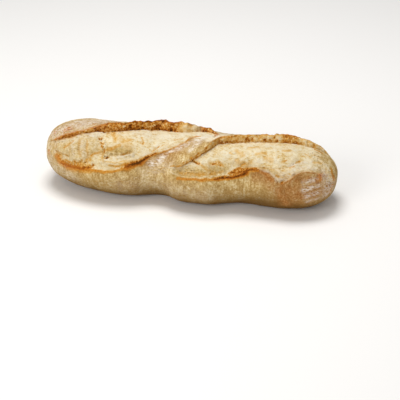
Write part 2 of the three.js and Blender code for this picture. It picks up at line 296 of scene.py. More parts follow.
def flap_edge(x, line, height, seed, holes):
    """Girth, outward height and depth of tearing of each row of points."""
    line, height = float(line(x)), float(height(x))
    size = 0.25 + 0.75 * height / FULL_FLAP
    rim = 1 + 0.07 * waver(x, seed) + 0.12 * ragged(x, 0, 9, seed) + 0.13 * ragged(x, 0, 3.4, seed)
    girths, outs, depths = [], [], []
    for row, (ahead, share) in enumerate(FLAP_EDGE):
        at = row * height / FACE_ROWS
        torn = TORN_ROWS[row]
        rough = 1.1 * ragged(x, at, 4.2, seed + 3) + 0.7 * ragged(x, at, 2.2, seed + 5)
        pit = 4 * max(0, ragged(x, at, 3.1, seed + 7) - 0.2)
        for hole_x, hole_row in holes:
            away = ((x - hole_x) / HOLE_REACH) ** 2 + ((row - hole_row) / HOLE_REACH) ** 2
            pit += HOLE_DEPTH * math.exp(-away)
        pit = min(pit, DEEPEST)
        depths.append(torn * (pit - 0.7 * rough))
        girths.append(line + ahead * size - torn * size * (pit - rough))
        outs.append(share * height * rim)
    return np.array(girths), np.array(outs), np.array(depths)


def lip_edge(x, line, height, seed):
    """Girth and outward height of each row of points."""
    line, height = float(line(x)), float(height(x))
    rim = 1 + 0.2 * ragged(x, 0, 8, seed)
    ahead, share = np.array(LIP_EDGE).T
    return line + ahead + 0.4 * ragged(x, 0, 6, seed + 2), share * height * rim


print("placed holes:", len(LEFT_HOLES), "in the left face and", len(RIGHT_HOLES), "in the right")


# %% How the skin climbs to a flap, and settles in front of a lip
def evenly(start, stop, count):
    return start + (stop - start) * np.arange(count) / count


def climb(edge_girth, edge_out, girth):
    behind = edge_girth - girth
    return np.where(behind > 0, edge_out * np.maximum(0, 1 - behind / FLAP_ROOT) ** 1.7, 0)


def settle(edge_girth, edge_out, girth):
    ahead = girth - edge_girth
    return np.where(ahead > 0, edge_out * np.maximum(0, 1 - ahead / LIP_ROOT) ** 1.5, 0)


FOOT_LIMIT = 0.92  # share of half the girth that the foot may lie at


def foot_girth(x, side):
    """Girth at which the skin meets the floor, at the front (1) or the back (-1)."""
    z, tape = outline(x)[1:]
    crown_at = tape[OUTLINE_STEPS // 2]
    reach = tape[-1] - crown_at if side > 0 else crown_at
    own = (np.arange(OUTLINE_STEPS + 1) - OUTLINE_STEPS // 2) * side > 0
    touching = np.abs(tape - crown_at)[own & (z < 1e-9)]
    return side * HALF_GIRTH * min(touching.min() / reach if len(touching) else 1, FOOT_LIMIT)


print("in the middle the front meets the floor at girth", round(foot_girth(0, 1)))

# %% The columns at one station
EDGE_SEEDS = {"left tear": 0.4, "right tear": 2.2, "left lip": 4.4, "right lip": 6.1}
LOWEST_ROOT = 0.75  # share of the way to the back's foot that a flap's root may start at


def columns(x):
    back_foot, front_foot = foot_girth(x, -1), foot_girth(x, 1)
    left_tear, left_out, left_depth = flap_edge(
        x, left_flap_line, left_flap_height, EDGE_SEEDS["left tear"], LEFT_HOLES)
    right_tear, right_out, right_depth = flap_edge(
        x, right_flap_line, right_flap_height, EDGE_SEEDS["right tear"], RIGHT_HOLES)
    left_lip, left_ridge = lip_edge(x, left_lip_line, left_lip_height, EDGE_SEEDS["left lip"])
    right_lip, right_ridge = lip_edge(x, right_lip_line, right_lip_height, EDGE_SEEDS["right lip"])
    root = max(left_tear[0] - FLAP_ROOT, back_foot * LOWEST_ROOT)
    girth = np.concatenate([
        evenly(back_foot, root, BLOCKS["back crust"]),
        evenly(root, left_tear[0], BLOCKS["flap root"]),
        left_tear,
        evenly(left_tear[-1] + EDGE_GAP, left_lip[0], BLOCKS["left crumb"]),
        left_lip,
        evenly(left_lip[-1] + EDGE_GAP, right_tear[0], BLOCKS["strip"]),
        right_tear,
        evenly(right_tear[-1] + EDGE_GAP, right_lip[0], BLOCKS["right crumb"]),
        right_lip,
        evenly(right_lip[-1] + EDGE_GAP, front_foot, BLOCKS["front crust"]),
        evenly(front_foot, HALF_GIRTH, BLOCKS["front base"]),
        evenly(-HALF_GIRTH, back_foot, BLOCKS["back base"]),
    ])
    out, depth = np.zeros(COLUMN_COUNT), np.zeros(COLUMN_COUNT)
    for name, height in {
            "left tear": left_out, "right tear": right_out,
            "left lip": left_ridge, "right lip": right_ridge}.items():
        out[block(name)] = height
    depth[block("left tear")], depth[block("right tear")] = left_depth, right_depth
    out += climb(left_tear[0], left_out[0], girth) + climb(right_tear[0], right_out[0], girth)
    out += settle(left_lip[-1], left_ridge[-1], girth) + settle(right_lip[-1], right_ridge[-1], girth)
    return girth, out, depth


grid_girth, grid_out, tear_depth = (
    np.array(rows) for rows in zip(*[columns(x) for x in stations]))
grid_x = np.repeat(stations[:, None], COLUMN_COUNT, axis=1)
print("girth runs from", round(grid_girth.min()), "to", round(grid_girth.max()))

# %% [markdown]
# ## Marks on the skin
# The crumb isn't smooth: as it tore open it left folds, creases, small holes and a few browned
# dashes. Each is a stroke, like one pull of a sculpting brush: a short path over the skin, a
# width, how far it raises or sinks the skin, and what it leaves there. The material has to know
# where the skin was torn, toasted, floured or pitted, and where shade and highlights are painted
# into its colour. Painting a picture for it would need an image file, so each of these marks is a
# number kept for every point of the grid. Sculpting by hand can't be repeated in a script, and a
# noise texture would put the marks anywhere.

# %% A brush that follows a path, with edges that waver as a real tear does
# The dried mark is partly painted shade, the sole mark mostly painted shade under the belly, and flour on
# raised crumb a painted highlight.
MARK_NAMES = ("crumb", "dried", "toast", "blush", "flour", "pits", "sole")
marks = {name: np.zeros(grid_x.shape) for name in MARK_NAMES}
stroke_height = np.zeros(grid_x.shape)
shift_x, shift_girth = (
    np.array([[1.0 * ragged(x, g, 7, seed) + 0.5 * ragged(x, g, 2.6, seed) for x, g in zip(*row)]
              for row in zip(grid_x, grid_girth)])
    for seed in (11.3, 17.9))


def brush(path, widths):
    """How strongly each point lies under a stroke whose width goes from one value to the other."""
    lengths = [math.dist(a, b) for a, b in zip(path, path[1:])]
    here_x, here_girth = grid_x + shift_x, grid_girth + shift_girth
    passed, strength = 0, np.zeros(grid_x.shape)
    for (x0, g0), (x1, g1), length in zip(path, path[1:], lengths):
        t = np.clip(((here_x - x0) * (x1 - x0) + (here_girth - g0) * (g1 - g0)) / length ** 2, 0, 1)
        width = widths[0] + (widths[1] - widths[0]) * (passed + t * length) / sum(lengths)
        gap = np.hypot(here_x - x0 - t * (x1 - x0), here_girth - g0 - t * (g1 - g0))
        strength = np.maximum(strength, np.exp(-((gap / width) ** 2)))
        passed += length
    return strength


def stroke(path, widths, raised=0.0, **levels):
    strength = brush(path, widths if isinstance(widths, tuple) else (widths, widths))
    stroke_height[:] += raised * strength
    for name, level in levels.items():
        marks[name][:] = np.maximum(marks[name], level * strength)


def strokes(mark, *table):
    """Strokes that leave one mark, as rows of width, height, level, then x and girth in turn."""
    for widths, raised, level, *path in table:
        stroke(list(zip(path[::2], path[1::2])), widths, raised, **{mark: level})


print("a stroke's edges waver by up to", round(float(np.abs(shift_x).max()), 1), "mm")

# %% Where the loaf is crumb
def share_of(name, shares):
    part = np.zeros(grid_x.shape)
    part[:, block(name)] = shares
    return part


def fade(start, fade_in, end, fade_out):
    """1 inside an opening, falling to 0 at its two ends, all in millimetres along the loaf."""
    return np.clip((grid_x - start) / fade_in, 0, 1) * np.clip((end - grid_x) / fade_out, 0, 1)


LIP_SHARES = np.array([1, 0.9, 0.6, 0.2, 0, 0, 0, 0])
CRUMB_PITS = 0.14
left_fade, right_fade = fade(-141, 6, 36, 10), fade(-13, 5, 152, 34)
marks["crumb"] += left_fade * (share_of("left crumb", 1) + share_of("left lip", LIP_SHARES))
marks["crumb"] += right_fade * (share_of("right crumb", 1) + share_of("right lip", LIP_SHARES))
crumb_over_strip = smooth(
    (-154, 40), (-42, 44), (-30, 37), (-19, 31), (-7, 22.5), (-0.5, 16.5), (2, 7), (8, 1.5),
    (20, -4), (155, -50))
beyond_lip = np.clip((crumb_over_strip(grid_x) - grid_girth) / 1.5 + 0.5, 0, 1) * left_fade
for name in ("left lip", "strip"):
    marks["crumb"][:, block(name)] = np.maximum(marks["crumb"], beyond_lip)[:, block(name)]
marks["pits"] += CRUMB_PITS * marks["crumb"]
print("crumb covers", round(float(marks["crumb"].mean()) * 100), "% of the grid")

# %% How brown each torn face is, along the loaf and down its rows, with painted shade in its holes and at its foot
left_tear_toast = smooth(
    (-154, 0), (-145, 0.4), (-139, 0.8), (-120, 0.75), (-104, 0.8), (-92, 0.9), (-84, 0.88),
    (-78, 0.94), (-68, 1), (-60, 1.05), (-30, 1.1), (-19, 1.05), (-15, 0.82), (-8, 0.42),
    (-2, 0.35), (8, 0.15), (12, 1), (27, 1.05), (33, 0.3), (155, 0))
right_tear_toast = smooth(
    (-154, 0), (-12, 0.4), (-6, 0.52), (10, 0.52), (25, 0.58), (33, 0.65), (42, 0.62), (50, 0.62),
    (57, 0.54), (61, 0.66), (65, 0.54), (72, 0.55), (80, 0.54), (94, 0.38), (99, 0.84), (110, 0.8),
    (114, 0.46), (128, 0.4), (140, 0.42), (148, 0.25), (155, 0))
# Down each face from crust side to foot; the rise near the foot is partly painted shadow under the rim.
ROW_TOAST_AND_SHADE = np.array([
    0.3, 0.5, 0.7, 0.78, 0.76, 0.66, 0.55, 0.47, 0.44, 0.48, 0.55, 0.62, 0.68, 0.3])
ROW_LEDGE = np.array([  # the plainer cut edge of the strip: pale on its rim, browner towards its foot, its dark foot a painted shadow under the ledge
    0.08, 0.11, 0.16, 0.24, 0.36, 0.46, 0.52, 0.53, 0.56, 0.63, 0.75, 0.95, 1.1, 0.2])
DEPTH_SHADE = 0.18  # painted shade: darker by this for each millimetre of depth
LEDGE_END, LEDGE_FADE = 30, 8  # mm along, where the strip's edge gives way to the flap
torn = np.zeros(grid_x.shape)
for name, along in (("left tear", left_tear_toast), ("right tear", right_tear_toast)):
    ledge = np.clip((LEDGE_END - stations) / LEDGE_FADE, 0, 1)[:, None] * (name == "right tear")
    rows = ROW_TOAST_AND_SHADE + (ROW_LEDGE - ROW_TOAST_AND_SHADE) * ledge
    level = along(stations)[:, None] * rows + DEPTH_SHADE * tear_depth[:, block(name)]
    marks["toast"][:, block(name)] = np.where(along(stations)[:, None] > 0.1, level, 0)
    torn[:, block(name)] = TORN_ROWS * np.clip(along(stations) * 2, 0, 1)[:, None]
marks["crumb"] = np.maximum(marks["crumb"], torn)
print("deepest tear, mm:", round(float(tear_depth.max()), 1))

# %% Strokes on the left opening: its lump of crumb, tear, hollow and folds
stroke([(-137, 38), (-136.5, 46), (-134, 50), (-126, 54)], 1.3, -1, toast=0.22, pits=0.2)
# A crease down the lump, darkened by the dried mark as painted shade.
stroke([(-110, 30), (-108, 39), (-105, 48)], 1.9, -1, dried=0.9, toast=0.22)
# Pale upright ridges on the lump: the flour mark on raised crumb is a painted highlight.
for top, bottom in (((-106, 32), (-101.5, 46)), ((-117, 33), (-112, 47))):
    stroke([top, bottom], 2.4, 0.8, flour=0.45)
stroke([(-136, 49), (-127, 50.5), (-117, 51)], 1.1, -1, toast=0.3, pits=0.4)
# Dark lines down the tear: painted shade in the crack.
for x, girth, along in ((-90, 22, 0.3), (-88, 20.5, 0.3), (-85.5, 30, 1.6), (-82.5, 34.5, 1.2)):
    stroke([(x, girth), (x + along, girth + 1.5 * along)], 0.8, -1.2, toast=0.95)
# Dark dots under the lump: painted shade in small holes.
for x, girth in ((-111, 54), (-105.5, 53.3), (-103.5, 51.5), (-99, 52)):
    stroke([(x, girth), (x + 0.7, girth + 0.4)], 0.9, -1.3, toast=0.7)
stroke([(-73, 39), (-62, 38.5), (-53, 36)], 1.6, -2, toast=0.14, pits=0.3)
stroke([(-71, 50), (-61, 49), (-51, 44.8)], 0.9, 0.9)
stroke([(-112, 55), (-104, 54.5), (-96, 52.5)], 1.6, -1.2, toast=0.3, pits=1)
stroke([(-80, 12), (-71, 9)], 2.6, pits=1, toast=0.2)
# A pale ridge near the flap's foot and a bright lip under the hollow: painted highlights.
stroke([(-109, 22), (-102, 23.5), (-96, 23)], 1.9, 0.8, flour=0.7)
stroke([(-71, 42.5), (-60, 41), (-50, 38)], 1.7, 1.8, flour=0.35)
stroke([(-138, 37), (-128, 36.5), (-119, 34.5)], 1.6, -0.6, pits=1)
stroke([(-90, 18), (-88, 23), (-83, 29), (-81.5, 37), (-77.5, 43)], (1.8, 2.6), -1.7, pits=1)
strokes("toast",
    (1.7, -1.1, 0.26, -101, 30, -98.5, 40, -96, 51), (1.8, -0.5, 0.18, -122, 38, -118, 42, -117, 49),
    (1.4, 0, 0.55, -87.5, 27.5, -84.5, 27), (1.8, 0.5, 0.28, -82, 39, -82, 42.5, -79.5, 48),
    (0.8, -1, 0.5, -63.5, 38, -59, 37, -55, 35.5), (2.6, -0.3, 0.36, -78, 34.5, -73, 33, -66, 29.5),
    (3.4, 0, 0.34, -78, 12, -75, 18, -72, 23.5), (3.4, 0, 0.3, -64, 24, -56, 22.5),
    (0.9, -0.5, 0.5, -45.5, 24, -43, 25.5), (1.3, -1.2, 0.3, -77, 48, -66, 48, -54, 44.5),
    (1.2, -0.9, 0.42, -73, 52, -61, 51, -50, 46), (1.8, -0.7, 0.36, -125, 43, -120, 37.5, -116, 33.5),
    ((2.6, 1.8), -0.9, 0.3, -93, 45.5, -90, 41, -85, 37.5, -82, 39), (1.1, 0, 0.5, -93, 45.5, -89, 40),
    (2.4, 0, 0.36, -97, 50, -94, 49), (1, -0.8, 0.45, -122, 50.5, -120.5, 50.5),
    # The next three rows are painted shade: two small dark holes, then the dark line under the flap.
    (0.9, -2, 1, -90.5, 53.5, -89.5, 53.5), (1.1, -2.2, 0.95, -78, 43.5, -76.8, 43),
    ((0.6, 0.9), -2, 1, -98, 14.5, -94, 13, -87, 12.5))
print("crumb of the left opening marked")

# %% Strokes on its smooth bulge and narrow end
# The dried mark in the hollow over the lip is painted shade.
stroke([(-84, 37), (-70, 36), (-54, 34)], 6, dried=1.3, pits=0.35)
# The flour marks here whiten crumb: a painted highlight on the raised ridge, a paler wash over the bulge.
stroke([(-112, 26), (-100, 22), (-90, 15)], 4, 0.6, flour=0.5)
stroke([(-50, 12), (-20, 6), (-5, 3)], 8, flour=0.3)
strokes("toast",
    (7, 0, 0.2, -76, 16, -65, 22, -57, 29), (4, 0, 0.16, -70, 9, -57, 5),
    (1.3, -0.6, 0.42, -45.5, 17, -42, 25), (0.9, -1.2, 0.45, -32, 31.5, -29, 28.5, -26, 24),
    (0.8, -0.9, 0.3, -31, 26, -26, 30), (0.7, -0.6, 0.3, -24, 24, -21, 20),
    (1.5, -0.4, 0.38, -12.5, 11.5, -5, 9.5))
# Duller tan crumb on the lump and round the opening: partly its own colour, partly painted shade.
strokes("dried",
    (13, 0, 0.95, -132, 44, -112, 46, -97, 42), (6, 0, 0.7, -124, 28, -104, 24, -92, 28),
    (5, 0, 0.55, -90, 50, -70, 53, -48, 46), (10, 0, 0.3, -148, 40, -146, 62))
print("bulge of the left opening marked")

# %% Strokes along its browned lower lip
strokes("toast",
    (4.6, 0.7, 0.62, -132, 55, -128, 60, -121, 61.5, -104, 60, -93, 58),
    (3.2, 0, 0.8, -126, 60, -113, 60.5, -104, 59.5, -95, 58),
    (1.6, 0.5, 0.45, -121, 56, -108, 56, -99, 55.5),
    (1.6, 0.3, 0.55, -94, 58, -84, 59, -71, 57.5, -58, 54.5), (1.5, 0.3, 0.55, -60, 54, -48, 49),
    ((4.2, 1.4), 0.8, 0.88, -54, 51, -44, 47.5, -40, 44, -35, 39, -28, 35),
    ((3.6, 1.8), 0, 1.12, -49, 48.5, -42, 46.5, -40, 44, -34, 39),
    (1.2, 0.4, 0.48, -28, 35.5, -19, 31, -7, 22.5, -0.5, 16.5),
    (1.3, 0.2, 0.52, -0.5, 16.5, 2, 7, 8, 1.5, 13, 1.5))
print("left lip browned")

# %% Strokes on the strip of crust between the openings
stroke([(-21, 38), (-16, 33)], 2, flour=0.6, blush=0.6)
stroke([(10, -4), (20, 4), (28, 10), (36, 2)], 6.5, crumb=0.8, flour=0.5)
stroke([(-34, 44), (-22, 38), (-6, 28), (12, 14)], 8, blush=0.5)
stroke([(4, 5), (12, 8), (16, 14)], 2, blush=0.6)
strokes("toast",
    (4, 0, 0.2, -20, 35, -6, 25, 6, 12), (1.6, 0.4, 0.62, 8, -23, 18, -20, 26, -10, 30, 0),
    (1.2, -0.6, 0.95, 11, -22, 13, -21), (1, -0.6, 0.9, 26, -6, 29, 0))
strokes("flour",
    (3.6, 0, 0.9, -31, 47, -25, 44, -20, 38), (6, 0, 0.28, -36, 56, -22, 52, -10, 44),
    (3.5, 0, 0.6, -6, 26, 8, 14, 20, 2, 28, -4), (1.4, 0, 0.95, -14, 30, -7, 26.5),
    (2.8, 0, 0.8, 9, 27, 11.5, 22, 15, 17), (6, 0, 1, 13, 8, 20, -2, 34, -6),
    (6, 0, 0.7, 30, -14, 42, -10, 60, -12))
print("strip marked")

# %% Strokes on the right opening: its tip, dome and creases
stroke([(-3, 46.5), (7, 48.5), (16, 48)], 3, pits=0.5, toast=0.14)
stroke([(62, 39), (65, 35)], 1.3, -0.9, pits=0.5, toast=0.4)
for start, stop, width in (  # straw-coloured patches
        ((75, 24.5), (83, 23), 2.6), ((85, 28.5), (91, 29.5), 3.6), ((102, 16.5), (107, 14), 3.4),
        ((124.5, 12.5), (128.5, 16), 2.6), ((131.5, 23), (138.5, 19), 2.5),
        ((62.5, 34.5), (67.5, 38), 2.8), ((66.5, 16.5), (74, 14), 3.6), ((54, 22), (61, 27), 3.8)):
    stroke([start, stop], width, toast=0.26)
stroke([(55, 33), (64, 38), (70, 34)], 3.4, -0.6, toast=0.24, pits=0.4)
stroke([(66, 40.5), (78, 39), (93, 38.8), (101, 38), (109, 34), (119, 28)], (1.6, 1), -1.7,
       toast=0.22, pits=0.4)
stroke([(90, 41), (99, 45), (105.5, 51)], 1, -1.1, toast=0.12, pits=0.4)
strokes("toast",
    (1.5, -1.5, 0.42, 11.7, 36.5, 17, 38.8, 23, 41), (0.7, -0.8, 0.85, 12, 36.5, 17, 38.8, 20.5, 40),
    (2, -0.5, 0.25, 24, 42, 34, 47, 44, 47), (2.6, 0, 0.3, 2, 51, 20, 50.5, 38, 49),
    ((2.8, 2), -1, 0.3, 31, 39, 36, 38, 41, 39.5), (1.3, -0.6, 0.66, 33, 39.5, 36, 37),
    (1, -0.9, 0.58, 39, 35.5, 41, 40), (1, -0.6, 0.3, 41, 37, 44, 42), (1.6, 0, 0.35, 48, 25, 49.5, 26),
    (9, 0, 0.12, 60, 24, 78, 18, 104, 12), (1.4, -0.3, 0.42, 110.6, 35, 114.6, 33.5),
    (0.9, -0.8, 0.55, 102.5, 30, 106.5, 28), (0.9, -0.8, 0.5, 116.5, 28, 120.5, 24.5),
    (1.4, -1, 0.5, 98.5, 46, 101, 47), (1.1, -1.4, 0.9, 104, 52.5, 105, 52.5))
# Flour on these raised lines of crumb is a painted highlight along their ridges.
strokes("flour",
    (1.6, 0.8, 0.7, 111, 32.5, 117, 30.5, 123.5, 26.5, 130, 23), (1, 1, 0.4, 84, 42, 94, 45, 103, 51),
    (1, 0.9, 0.3, 98, 40, 106, 45, 109, 49), (3, 0.5, 0.5, 112, 38, 124, 33, 136, 31))
# The dried marks here are duller crumb, partly painted shade on the low slope and in the creases.
strokes("dried",
    (5.5, 0, 1.2, -2, 51, 14, 48, 30, 46, 46, 44), (5, 0, 0.8, 44, 40, 58, 38, 70, 36),
    (4, 0, 0.8, 82, 40, 92, 41, 100, 46), (5, 0, 0.5, 104, 31, 122, 26))
print("right opening marked")

# %% Strokes along its lower lip, with the knob and the bulge under it
# The first two strokes darken the knob's right side with blush and the sole mark: painted shade over its
# own pinkish brown.
stroke([(76, 44), (88, 46.5), (96, 52)], 2.6, 0.2, blush=1, toast=0.2)
stroke([(84, 45), (90, 48), (95, 51.5)], 3.8, blush=1.3, sole=0.26)
# A pale line along the lip's rim: crumb, with the flour mark as a painted highlight.
stroke([(80, 41.5), (86, 41.8), (91.5, 43.4), (97.5, 48.5), (99.5, 53)], 0.9, 0.4, crumb=1, flour=0.4)
stroke([(99, 52), (102, 56), (104, 60)], 1.4, -0.6, blush=1, pits=0.7)
# The sole mark in the next three strokes is painted shade: down under the lip, and in two creases.
stroke([(103, 60), (108, 70), (110, 80)], 7, blush=1, sole=0.42)
stroke([(115.5, 43.5), (125.5, 48)], 1.5, -0.4, sole=0.8)
stroke([(120.5, 46.5), (124.5, 51)], 1.5, -0.3, sole=0.6)
strokes("toast",
    ((1.4, 1.8), 0.3, 0.62, -1, 56.5, 20, 55.5, 40, 54.6, 50, 53.6),
    ((1.8, 2.8), 0.4, 0.98, 38, 54.7, 50, 53.6, 61, 51, 69, 47),
    (1.5, 0.2, 0.6, 50, 49, 57, 45.5, 64, 43.5), (3.2, 0.3, 0.72, 56, 48.5, 66, 45.5, 74, 43),
    (2.4, 0.6, 0.98, 65, 46.5, 72, 43.6, 79, 43), (1.7, 0, 0.72, 52, 49.5, 57, 44.5, 61, 42),
    (1.4, 0.3, 0.88, 63.5, 43, 70.5, 41, 77, 41), (2.3, 0, 0.74, 140.5, 38, 141.5, 46))
strokes("flour",
    (2.2, 0, 0.6, 126, 51, 138, 45.5), (2.6, 0, 0.75, 127, 59, 141, 54),
    (2.6, 0, 0.65, 129, 67, 141, 63), (2.2, 0, 0.5, 131, 75, 140, 73))
strokes("blush",
    (6, 0, 0.75, 78, 50, 88, 52, 96, 58),
    (2.2, 0.4, 1, 103, 55, 113, 50, 118, 45, 123, 40.5, 130, 38.5, 137, 39),
    (6.5, 0, 1, 118, 48, 130, 46, 140, 48), (15, 0, 0.95, 112, 60, 128, 64, 140, 62),
    (3.2, 0, 1.3, 138, 44, 143.5, 38))
print("lower lip, knob and bulge marked")

# %% Strokes on the ends, the back and the crust near the base
stroke([(144, 32), (150, 52), (149, 76)], 5, toast=0.2, flour=0.6)
stroke([(130, 4), (140, 16), (148, 30), (152, 48)], 8, crumb=0.6, toast=0.14, pits=0.5)
stroke([(-142, 20), (-116, 4), (-90, -14)], 16, flour=0.6, blush=0.5)
stroke([(150, 60), (148, 84)], 5, blush=0.5)
stroke([(-60, -44), (20, -52), (96, -46)], 15, blush=0.4)
strokes("toast",
    (5, 0, 0.22, 154, 46, 152, 60), (1.3, 0, 0.62, 149.5, 16, 152.5, 34, 152.8, 48),
    (1.7, 0, 0.5, 152.5, 58, 150.5, 80), (1.4, 0, 0.8, 130, -9.5, 138, -10.5),
    (2.2, 0, 0.7, -146, 52, -145, 58), (1.8, 0, 0.7, -144, 16, -143, 21),
    (2.9, 0.3, 0.66, -138, 33, -121, 27.5, -107, 18, -97, 10.5, -86, 6.5),
    (1.8, 0.3, 1.05, -130, 22, -123, 17.5), (1.4, 0, 0.95, -131, 17.5, -126, 13.5),
    (4, 0, 0.2, -117, 9, -114, 6), (0.9, -0.4, 0.9, -105, 4, -98, 2.5))
strokes("flour",
    (1.6, 0, 1, -109, 4, -105, 0.5, -100, -2), (3.2, 0, 0.9, -125, -2, -115, -3.5),
    (10, 0, 0.5, -96, -30, -36, -24, 30, -34, 80, -28), (10, 0, 0.4, -148, 45, -144, 80),
    (10, 0, 0.13, -60, 72, -20, 70, 30, 72), (9, 0, 0.3, -140, 68, -116, 74))
marks["flour"] *= 1 - 0.9 * torn  # dough that tore in the oven never touched the floured basket
marks["flour"] *= 1 - np.clip(2.5 * marks["toast"] - 1.4, 0, 0.85)  # scorched crust lost its flour
print("ends, back and base marked")

# %% The grid's points in space
SLOPE_REACH = 1.5  # mm to each side, over which the skin's slope is measured
FULL_LIFT = 150  # mm of girth, under which relief shrinks with the section


def place_points():
    points = np.zeros((STATION_COUNT, COLUMN_COUNT, 3))
    lift_by = grid_out + swelling(grid_x, grid_girth) + stroke_height
    for i, x in enumerate(stations):
        y, z, tape = outline(x)
        crown_at, total = tape[OUTLINE_STEPS // 2], tape[-1]
        reach = np.where(grid_girth[i] > 0, total - crown_at, crown_at)
        at = crown_at + grid_girth[i] / HALF_GIRTH * reach
        ahead, behind = at + SLOPE_REACH, at - SLOPE_REACH
        along_y = np.interp(ahead, tape, y) - np.interp(behind, tape, y)
        along_z = np.interp(ahead, tape, z) - np.interp(behind, tape, z)
        length = np.hypot(along_y, along_z) + 1e-9
        lift = lift_by[i] * min(1, total / FULL_LIFT)
        points[i, :, 0] = x
        points[i, :, 1] = np.interp(at, tape, y) + along_z / length * lift
        points[i, :, 2] = np.interp(at, tape, z) - along_y / length * lift
    points -= (*BODY_MIDDLE, 0)
    points[..., 2] = np.maximum(points[..., 2], 0)
    return points / 1000


skin = place_points()
# Darker towards the base: painted shade under the belly, with some real browning from the hot stone.
SOLE_SHADE_TOP, SOLE_SHADE_FADE = 0.0345, 0.03  # metres: where the darkening starts, and how far down it grows
deeper_near_knob = 1 + 0.7 * np.clip(1.4 - abs(grid_x - 96) / 30, 0, 1)  # the darkening deepest under the knob and bulge
marks["sole"] += np.clip((SOLE_SHADE_TOP - skin[..., 2]) / SOLE_SHADE_FADE * deeper_near_knob, 0, 1)
print("skin spans", np.round(skin.reshape(-1, 3).min(0), 4), np.round(skin.reshape(-1, 3).max(0), 4))

# %% [markdown]
# ## From a ball of dough to the loaf
# A baker starts from a ball, and so does this: a UV sphere with one segment for each column and
# one ring for each station. It is closed, its poles become the loaf's two ends, and its faces
# already point outwards. Its points are then moved by code onto the skin worked out above,
# because no extrude or bevel could follow lines that wander like these.

# %% Add the ball, and find the station and column of each of its points
bpy.ops.object.select_all(action="DESELECT")
bpy.ops.mesh.primitive_uv_sphere_add(segments=COLUMN_COUNT, ring_count=STATION_COUNT + 1, radius=1)
loaf = bpy.context.object
loaf.name = loaf.data.name = "long_loaf"


def read_points(attribute="co", source=None):
    source = source or loaf.data.vertices
    values = np.empty(len(source) * 3)
    source.foreach_get(attribute, values)
    return values.reshape(-1, 3)


ball = read_points()
ring = np.rint(np.arccos(np.clip(ball[:, 2], -1, 1)) / np.pi * (STATION_COUNT + 1)).astype(int)
around = np.arctan2(ball[:, 1], ball[:, 0]) / (2 * np.pi)
column = np.rint(around * COLUMN_COUNT).astype(int) % COLUMN_COUNT
station = STATION_COUNT - ring  # the top of the ball becomes the right end
row = np.clip(station, 0, STATION_COUNT - 1)

# %% Pull it out into the loaf
shaped = skin[row, column]
for pole, end, ring_middle in (
        (station < 0, LEFT_END, skin[0].mean(0)), (station >= STATION_COUNT, RIGHT_END, skin[-1].mean(0))):
    shaped[pole] = ((end - BODY_MIDDLE[0]) / 1000, *ring_middle[1:])
loaf.data.vertices.foreach_set("co", shaped.ravel())
loaf.data.update()
filled = bmesh.new()
filled.from_mesh(loaf.data)
litres = 1000 * filled.calc_volume(signed=True)  # above zero, so the faces point outwards
filled.free()
print("loaf has", len(loaf.data.polygons), "faces and holds", round(litres, 2), "litres")


# %% Store the marks on its points
def store_mark(name, values):
    mark = loaf.data.attributes.new(name, "FLOAT", "POINT")
    mark.data.foreach_set("value", np.clip(values, 0, 1.3).astype(np.float32))


for mark_name, mark_grid in marks.items():
    store_mark(mark_name, mark_grid[row, column])
print("marks stored:", ", ".join(marks))

# %% [markdown]
# ## Crust, crumb and torn dough feel different
# Baked crust is gently lumpy with fine wrinkles, open crumb is pitted, and a torn face is rough.
# Each is a Displace modifier with a cloud texture, held to its own part of the loaf by a vertex
# group and then applied, so that the relief is real and shows at the outline.


# %% A Displace modifier for one kind of surface
def roughen(name, grid, grain, strength, depth=2):
    """Push the skin in and out by clouds of one grain, both in millimetres, where the grid says."""
    group = loaf.vertex_groups.new(name=name)
    weights = np.round(np.clip(grid[row, column], 0, 1), 1)
    for weight in np.unique(weights[weights > 0]):
        group.add(np.nonzero(weights == weight)[0].tolist(), float(weight), "REPLACE")
    clouds = bpy.data.textures.new(name, "CLOUDS")
    clouds.noise_scale, clouds.noise_depth = grain / 1000, depth
    displace = loaf.modifiers.new(name, "DISPLACE")
    displace.texture, displace.texture_coords = clouds, "LOCAL"
    displace.vertex_group = group.name
    displace.strength, displace.mid_level = strength / 1000, 0.5
    bpy.ops.object.modifier_apply(modifier=name)
    loaf.vertex_groups.clear()


print(len(loaf.data.vertices), "points to roughen")

# %% Roughen each kind of surface
BASE_GIRTH, BASE_FADE = 104, 20  # past this girth nothing is roughened, so the base stays flat
clear_of_base = np.clip((BASE_GIRTH - np.abs(grid_girth)) / BASE_FADE, 0, 1)
crumb_part = np.clip(marks["crumb"], 0, 1)
crust_part = np.clip(1 - crumb_part - torn, 0, 1) * clear_of_base
smooth_skin = read_points()
outwards = read_points("vector", loaf.data.vertex_normals)
roughen("crust lumps", crust_part, 15, 1.6)
roughen("crust wrinkles", crust_part, 3.6, 0.8, depth=3)
roughen("crumb swell", crumb_part, 9, 1.3)
roughen("crumb grain", crumb_part, 3, 1.2, depth=3)
roughen("torn face", torn, 2.4, 0.8)
rough_skin = read_points()
relief = ((rough_skin - smooth_skin) * outwards).sum(1) * 1000
store_mark("relief", relief / 2 + 0.5)
print("relief runs from", round(relief.min(), 2), "to", round(relief.max(), 2), "mm")

# %% Keep the base flat, and shade the skin smooth
rough_skin[:, 2] = np.maximum(rough_skin[:, 2], 0)
loaf.data.vertices.foreach_set("co", rough_skin.ravel())
bpy.ops.object.shade_smooth()
loaf.data.update()
print("top of the loaf, mm:", round(float(rough_skin[:, 2].max()) * 1000, 1))

# %% [markdown]
# ## Baked bread
# The skin of a wheat loaf is dry starch and protein. The sealed crust browned evenly to tan and
# keeps the rising basket's flour in its wrinkles. The crumb that burst out late stayed cream. Thin
# edges stood nearest the heat and went from gold to red-brown. All of it is matt and slightly
# rough, with no clear coat and hardly any shine. One material covers the loaf, because the real
# surface passes from one to the next without a seam. Colours are written as the sRGB hex that a
# screen shows, and shaders work in linear light, so one function turns the one into the other.


